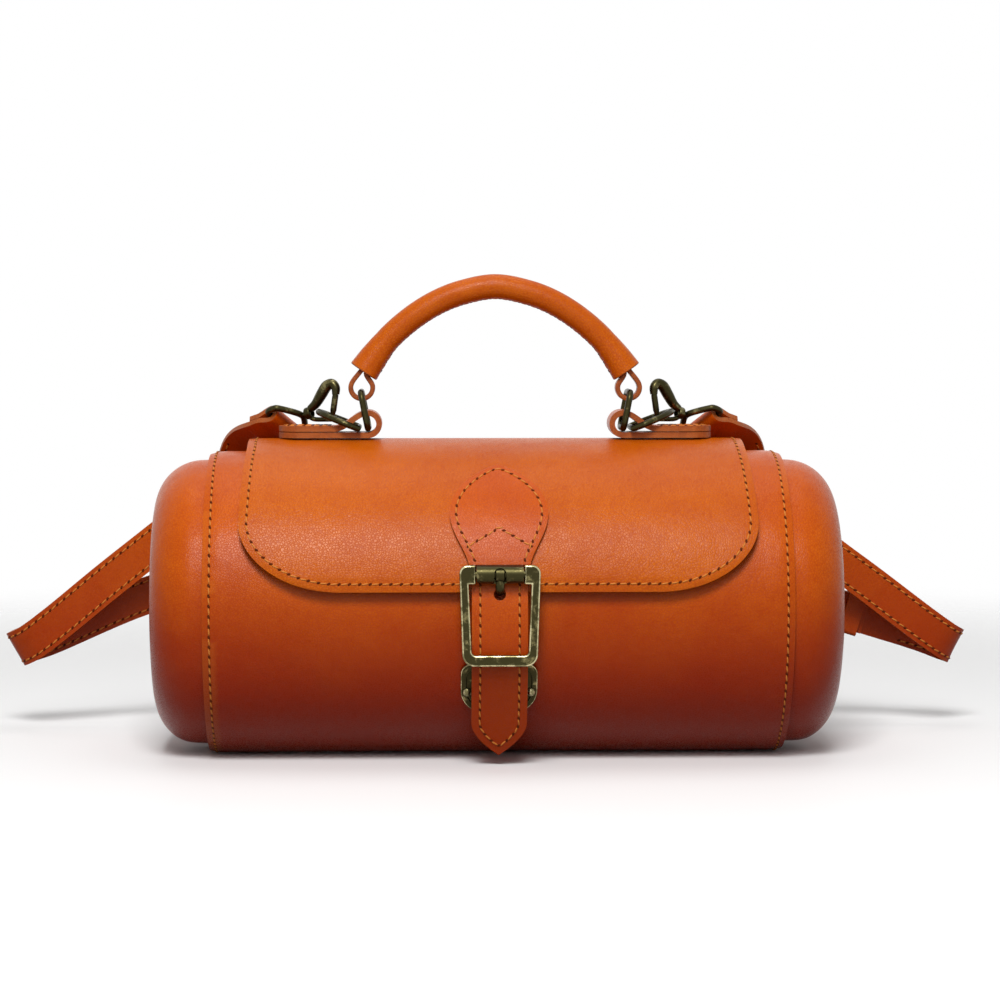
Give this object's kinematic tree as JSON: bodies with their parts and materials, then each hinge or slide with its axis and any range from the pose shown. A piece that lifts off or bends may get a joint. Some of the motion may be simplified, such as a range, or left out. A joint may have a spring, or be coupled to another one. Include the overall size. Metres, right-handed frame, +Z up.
{
  "type": "barrel handbag",
  "caption": "Small barrel-shaped leather handbag with a buckled flap, a stiff top handle and a hooked shoulder strap.",
  "frame": {"origin": "middle of the flat strip that the barrel rests on", "axes": "+X along the barrel to the right as seen from the front, +Y to the back, +Z up"},
  "size_m": [0.3802, 0.143, 0.1778],
  "materials": {
    "barrel_panel": "burnished grain leather, satin",
    "barrel_lining": "matt suede cloth",
    "end_cap_left": "burnished grain leather, satin",
    "end_cap_right": "burnished grain leather, satin",
    "end_board_left": "matt fibreboard",
    "end_board_right": "matt fibreboard",
    "flap_root": "burnished grain leather, satin",
    "anchor_tab_left": "burnished grain leather, satin",
    "anchor_tab_right": "burnished grain leather, satin",
    "catch_plate": "antiqued dark brass",
    "catch_rivet_left": "plated steel",
    "catch_rivet_right": "plated steel",
    "catch_magnet": "plated steel",
    "flap_panel": "burnished grain leather, satin",
    "flap_lining": "matt suede cloth",
    "closure_tab": "burnished grain leather, satin",
    "closure_strap": "burnished grain leather, satin",
    "buckle_sleeve": "antiqued dark brass",
    "snap_disc": "plated steel",
    "buckle_frame": "antiqued dark brass",
    "buckle_prong": "antiqued dark brass",
    "link_ring_left": "antiqued dark brass",
    "link_ring_right": "antiqued dark brass",
    "handle_cover": "burnished grain leather, satin",
    "handle_core": "twisted cord",
    "handle_loop_left": "burnished grain leather, satin",
    "handle_loop_right": "burnished grain leather, satin",
    "d_ring_left": "antiqued dark brass",
    "d_ring_right": "antiqued dark brass",
    "shoulder_strap_long": "burnished grain leather, satin",
    "shoulder_strap_short": "burnished grain leather, satin",
    "strap_keeper": "burnished grain leather, satin",
    "hook_eye_left": "antiqued dark brass",
    "hook_eye_right": "antiqued dark brass",
    "hook_body_left": "antiqued dark brass",
    "hook_body_right": "antiqued dark brass",
    "hook_gate_left": "antiqued dark brass",
    "hook_gate_right": "antiqued dark brass",
    "strap_buckle_frame": "antiqued dark brass",
    "strap_buckle_prong": "antiqued dark brass"
  },
  "bodies": {
    "bag": {"barrel_panel": "barrel_panel", "barrel_lining": "barrel_lining", "end_cap_left": "end_cap_left", "end_cap_right": "end_cap_right", "end_board_left": "end_board_left", "end_board_right": "end_board_right", "flap_root": "flap_root", "anchor_tab_left": "anchor_tab_left", "anchor_tab_right": "anchor_tab_right", "catch_plate": "catch_plate", "catch_rivet_left": "catch_rivet_left", "catch_rivet_right": "catch_rivet_right", "catch_magnet": "catch_magnet"},
    "flap": {"flap_panel": "flap_panel", "flap_lining": "flap_lining", "closure_tab": "closure_tab", "closure_strap": "closure_strap", "buckle_sleeve": "buckle_sleeve", "snap_disc": "snap_disc"},
    "buckle": {"buckle_frame": "buckle_frame"},
    "buckle_prong": {"buckle_prong": "buckle_prong"},
    "link_left": {"link_ring_left": "link_ring_left"},
    "link_right": {"link_ring_right": "link_ring_right"},
    "handle": {"handle_cover": "handle_cover", "handle_core": "handle_core", "handle_loop_left": "handle_loop_left", "handle_loop_right": "handle_loop_right"},
    "d_ring_left": {"d_ring_left": "d_ring_left"},
    "d_ring_right": {"d_ring_right": "d_ring_right"},
    "shoulder_strap": {"shoulder_strap_long": "shoulder_strap_long", "shoulder_strap_short": "shoulder_strap_short", "strap_keeper": "strap_keeper", "hook_eye_left": "hook_eye_left", "hook_eye_right": "hook_eye_right"},
    "hook_left": {"hook_body_left": "hook_body_left"},
    "hook_right": {"hook_body_right": "hook_body_right"},
    "gate_left": {"hook_gate_left": "hook_gate_left"},
    "gate_right": {"hook_gate_right": "hook_gate_right"},
    "strap_buckle": {"strap_buckle_frame": "strap_buckle_frame"},
    "strap_prong": {"strap_buckle_prong": "strap_buckle_prong"}
  },
  "joints": [
    {"name": "flap_hinge", "type": "hinge", "parent": "bag", "child": "flap", "pos_m": [0, -0.0175, 0.1126], "axis": [-1, 0, 0], "range_deg": [0, 110]},
    {"name": "buckle_hinge", "type": "hinge", "parent": "flap", "child": "buckle", "pos_m": [0, -0.06578, 0.07079], "axis": [-1, 0, 0], "range_deg": [0, 60]},
    {"name": "buckle_prong_hinge", "type": "hinge", "parent": "flap", "child": "buckle_prong", "pos_m": [0, -0.06578, 0.07079], "axis": [-1, 0, 0], "range_deg": [0, 60]},
    {"name": "link_left_hinge", "type": "hinge", "parent": "bag", "child": "link_left", "pos_m": [-0.0476, 0, 0.1205], "axis": [0, 1, 0], "range_deg": [-8, 8]},
    {"name": "link_right_hinge", "type": "hinge", "parent": "bag", "child": "link_right", "pos_m": [0.0476, 0, 0.1205], "axis": [0, 1, 0], "range_deg": [-8, 8]},
    {"name": "handle_hinge", "type": "hinge", "parent": "link_left", "child": "handle", "pos_m": [-0.05019, 0, 0.13385], "axis": [0, 1, 0], "range_deg": [-8, 8]},
    {"name": "d_ring_left_hinge", "type": "hinge", "parent": "bag", "child": "d_ring_left", "pos_m": [-0.0512, 0, 0.1205], "axis": [0, 1, 0], "range_deg": [0, 10]},
    {"name": "d_ring_right_hinge", "type": "hinge", "parent": "bag", "child": "d_ring_right", "pos_m": [0.0512, 0, 0.1205], "axis": [0, -1, 0], "range_deg": [0, 10]},
    {"name": "shoulder_strap_hinge", "type": "hinge", "parent": "bag", "child": "shoulder_strap", "pos_m": [0, 0.0052, 0.12455], "axis": [1, 0, 0], "range_deg": [0, 15]},
    {"name": "hook_left_swivel", "type": "hinge", "parent": "shoulder_strap", "child": "hook_left", "pos_m": [-0.07006, 0.00824, 0.1258], "axis": [-0.8288, 0.4665, -0.309], "range_deg": [-10, 10]},
    {"name": "hook_right_swivel", "type": "hinge", "parent": "shoulder_strap", "child": "hook_right", "pos_m": [0.07006, 0.00824, 0.1258], "axis": [0.8288, 0.4665, -0.309], "range_deg": [-10, 10]},
    {"name": "gate_left_hinge", "type": "hinge", "parent": "hook_left", "child": "gate_left", "pos_m": [-0.06117, 0.00324, 0.1239], "axis": [-0.4906, -0.8714, 0], "range_deg": [0, 18], "stiffness_Nm_per_rad": 0.0006, "springref_deg": -11.46},
    {"name": "gate_right_hinge", "type": "hinge", "parent": "hook_right", "child": "gate_right", "pos_m": [0.06117, 0.00324, 0.1239], "axis": [-0.4906, 0.8714, 0], "range_deg": [0, 18], "stiffness_Nm_per_rad": 0.0006, "springref_deg": -11.46},
    {"name": "strap_buckle_hinge", "type": "hinge", "parent": "shoulder_strap", "child": "strap_buckle", "pos_m": [0.1345, 0.0675, 0.0473], "axis": [-0.2924, 0, -0.9563], "range_deg": [0, 12]},
    {"name": "strap_prong_hinge", "type": "hinge", "parent": "strap_buckle", "child": "strap_prong", "pos_m": [0.1345, 0.0675, 0.0473], "axis": [-0.2924, 0, -0.9563], "range_deg": [0, 12]}
  ],
  "couplings": [
    {"joint": "link_right_hinge", "follows": "link_left_hinge", "ratio": 1},
    {"joint": "handle_hinge", "follows": "link_left_hinge", "ratio": -0.949}
  ]
}
